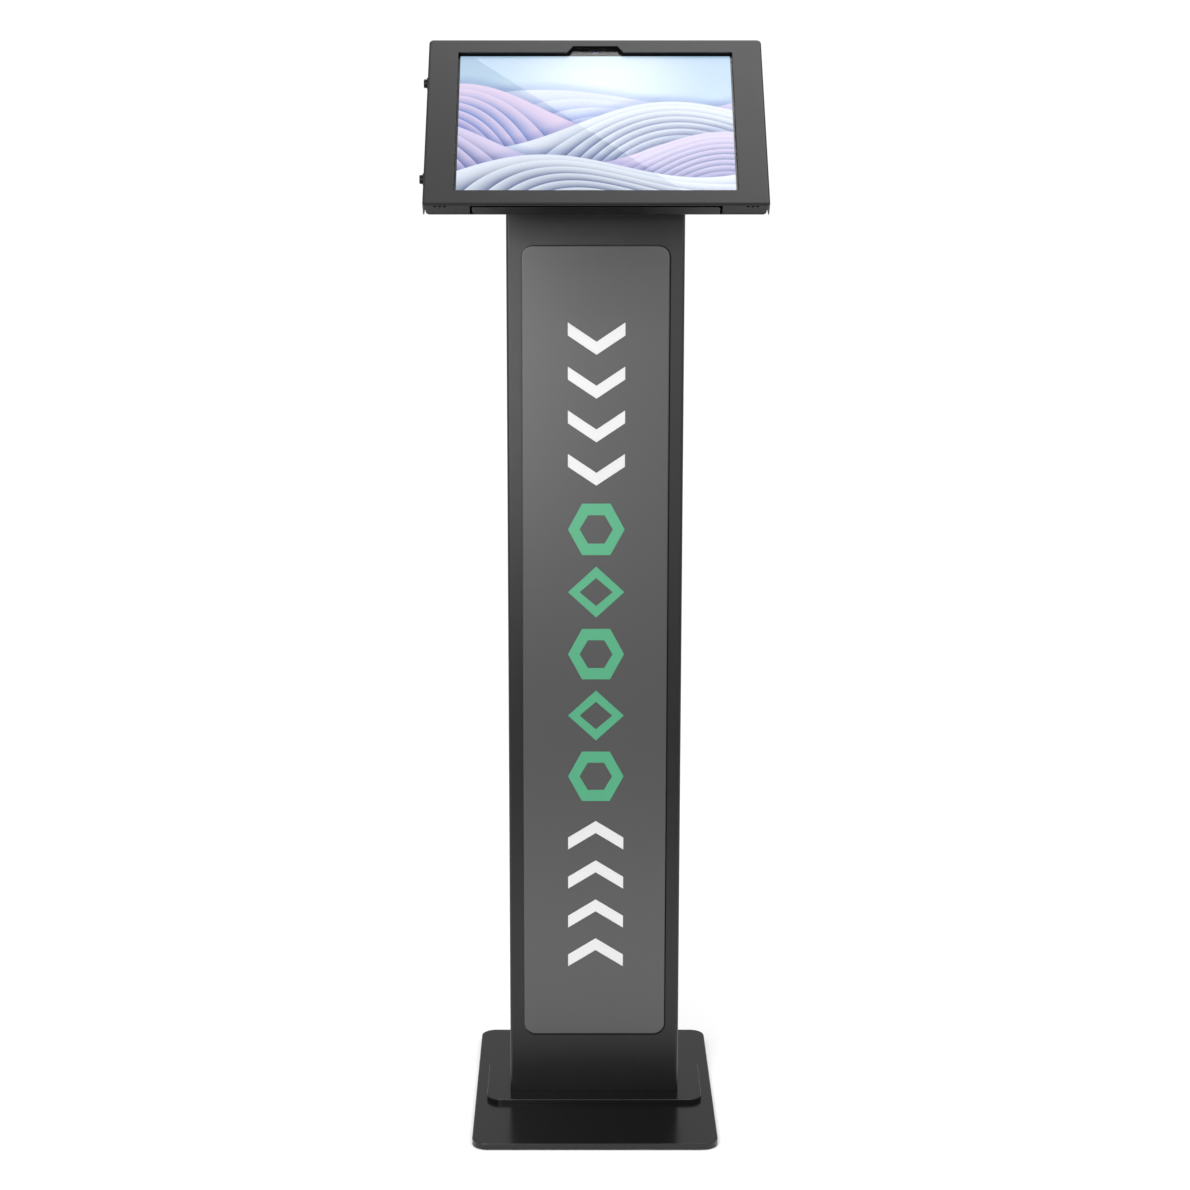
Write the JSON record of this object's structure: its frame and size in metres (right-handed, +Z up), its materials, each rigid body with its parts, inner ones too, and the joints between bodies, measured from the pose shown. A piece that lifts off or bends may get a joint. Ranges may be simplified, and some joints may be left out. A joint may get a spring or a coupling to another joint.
{
  "type": "tablet security kiosk stand",
  "caption": "Floor stand for a tablet: steel base, tall column with a printed panel, and a sloping head whose hinged, screw-locked cover holds the tablet behind a window.",
  "frame": {"origin": "on the floor, under the middle of the column", "axes": "+X to the right seen from the front, +Y from front to back, +Z up"},
  "size_m": [0.3434, 0.314, 1.1182],
  "materials": {
    "black_coat": "satin powder coat",
    "zinc_steel": "zinc plated",
    "hinge_steel": "rolled steel",
    "black_oxide": "black oxide",
    "black_rubber": "matt",
    "black_foam": "closed-cell foam",
    "panel_print": "printed, satin laminate",
    "magnet_sheet": "matt",
    "clip_plastic": "moulded",
    "cover_glass": "polished",
    "display": "lit screen",
    "mask_black": "printed black border",
    "lens": "lens",
    "casing_aluminium": "anodised",
    "key_aluminium": "anodised",
    "battery_wrap": "wrapped",
    "circuit_board": "solder mask"
  },
  "bodies": {
    "stand": {"base_plate": "black_coat", "foot_plate": "black_coat", "column_shell": "black_coat", "rear_cover": "black_coat", "mounting_bracket": "black_coat", "rear_tray": "black_coat", "base_bolts": "zinc_steel", "base_nuts": "zinc_steel", "rear_cover_nuts": "zinc_steel", "bracket_nuts": "zinc_steel", "vesa_screws": "zinc_steel", "vesa_nuts": "zinc_steel", "lock_bushes": "zinc_steel", "hinge_tray_leaf": "hinge_steel", "hinge_pin": "hinge_steel", "rear_cover_screws": "black_oxide", "bracket_screws": "black_oxide", "floor_pad": "black_rubber", "cable_grommet": "black_rubber", "head_grommet": "black_rubber", "corner_blocks": "black_rubber", "foam_strips": "black_foam", "cable_clips": "clip_plastic", "tablet_glass": "cover_glass", "tablet_display": "display", "screen_mask": "mask_black", "tablet_camera": "lens", "tablet_casing": "casing_aluminium", "tablet_battery": "battery_wrap", "tablet_board": "circuit_board"},
    "cover": {"front_cover": "black_coat", "window_gasket": "black_foam", "hinge_cover_leaf": "hinge_steel"},
    "upper_washer": {"screw_washer_upper": "black_oxide"},
    "upper_screw": {"security_screw_upper": "black_oxide"},
    "lower_washer": {"screw_washer_lower": "black_oxide"},
    "lower_screw": {"security_screw_lower": "black_oxide"},
    "panel": {"graphic_panel": "panel_print", "magnetic_backing": "magnet_sheet"},
    "power_key": {"power_button": "key_aluminium"},
    "volume_key": {"volume_rocker": "key_aluminium"}
  },
  "joints": [
    {"name": "cover_swing", "type": "hinge", "parent": "stand", "child": "cover", "pos_m": [0.16555, -0.00813, 1.02632], "axis": [0, 0.7071, 0.7071], "range_deg": [0, 110]},
    {"name": "upper_screw_travel", "type": "slide", "parent": "stand", "child": "upper_washer", "axis": [-1, 0, 0], "range_m": [0, 0.0016]},
    {"name": "upper_screw_turn", "type": "hinge", "parent": "upper_washer", "child": "upper_screw", "pos_m": [-0.16985, 0.02817, 1.07464], "axis": [-1, 0, 0], "range_deg": [0, 720]},
    {"name": "lower_screw_travel", "type": "slide", "parent": "stand", "child": "lower_washer", "axis": [-1, 0, 0], "range_m": [0, 0.0016]},
    {"name": "lower_screw_turn", "type": "hinge", "parent": "lower_washer", "child": "lower_screw", "pos_m": [-0.16985, -0.06444, 0.98203], "axis": [-1, 0, 0], "range_deg": [0, 720]},
    {"name": "panel_pull", "type": "slide", "parent": "stand", "child": "panel", "axis": [0, -1, 0], "range_m": [0, 0.05]},
    {"name": "power_press", "type": "slide", "parent": "stand", "child": "power_key", "axis": [0, -0.7071, -0.7071], "range_m": [0, 0.0004], "stiffness_N_per_m": 3000},
    {"name": "volume_rock", "type": "hinge", "parent": "stand", "child": "volume_key", "pos_m": [0.062, 0.05812, 1.10749], "axis": [0, -0.7071, 0.7071], "range_deg": [-1.5, 1.5], "stiffness_Nm_per_rad": 0.6}
  ],
  "couplings": [
    {"joint": "upper_screw_turn", "follows": "upper_screw_travel", "rad_per_m": 7854},
    {"joint": "lower_screw_turn", "follows": "lower_screw_travel", "rad_per_m": 7854}
  ]
}
